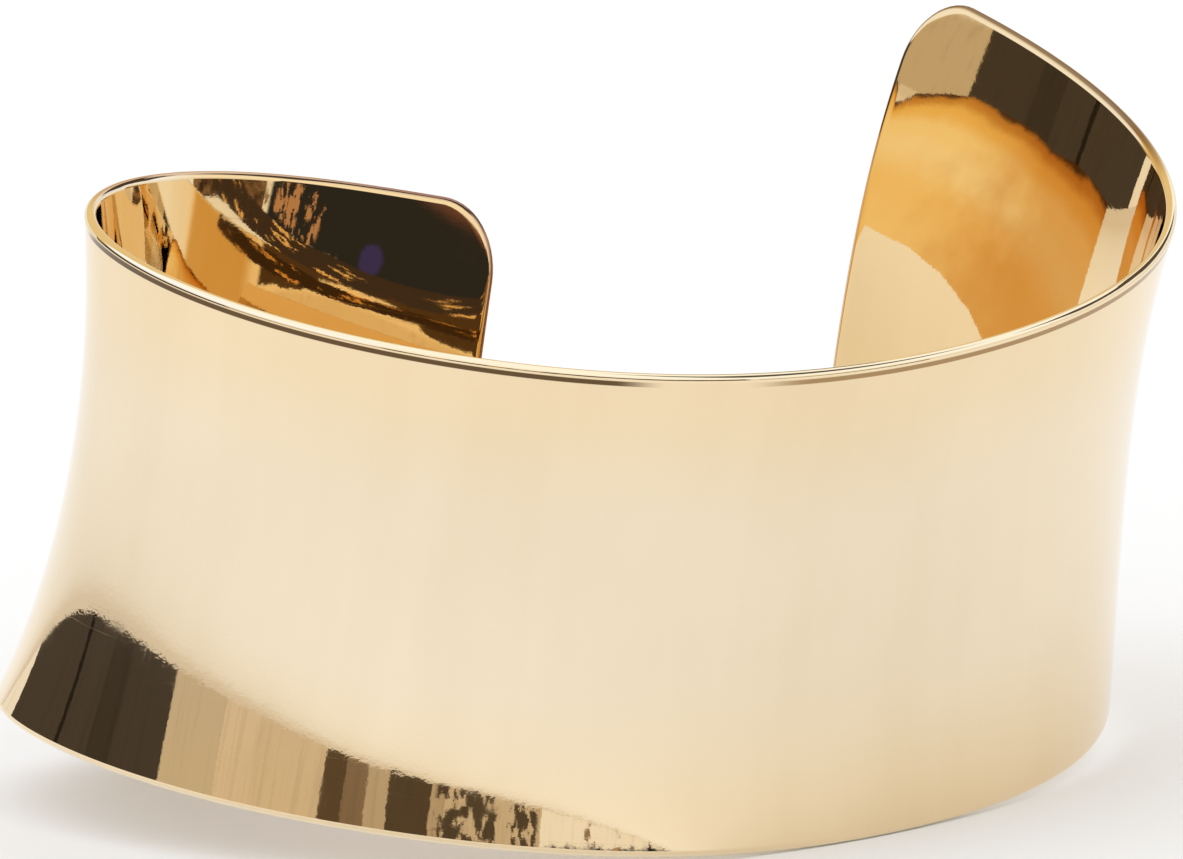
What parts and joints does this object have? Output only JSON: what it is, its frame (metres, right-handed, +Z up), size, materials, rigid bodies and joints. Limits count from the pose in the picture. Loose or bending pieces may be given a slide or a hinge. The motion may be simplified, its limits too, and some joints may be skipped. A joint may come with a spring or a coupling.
{
  "type": "cuff bracelet",
  "caption": "Plain open cuff bracelet of polished gold-plated sheet brass, dished across its width, with round rims and rounded corners, lying on its side.",
  "frame": {"origin": "on the table surface, under the middle of the bracelet's bounding box as it lies at rest", "axes": "+Z up from the table, -Y towards the closed front of the cuff, +Y towards the gap at the back, +X towards its right side"},
  "size_m": [0.0678, 0.063, 0.0398],
  "materials": {
    "gold": "pale gold plate, polished to a mirror"
  },
  "bodies": {
    "root": {"cuff": "gold"}
  },
  "joints": []
}
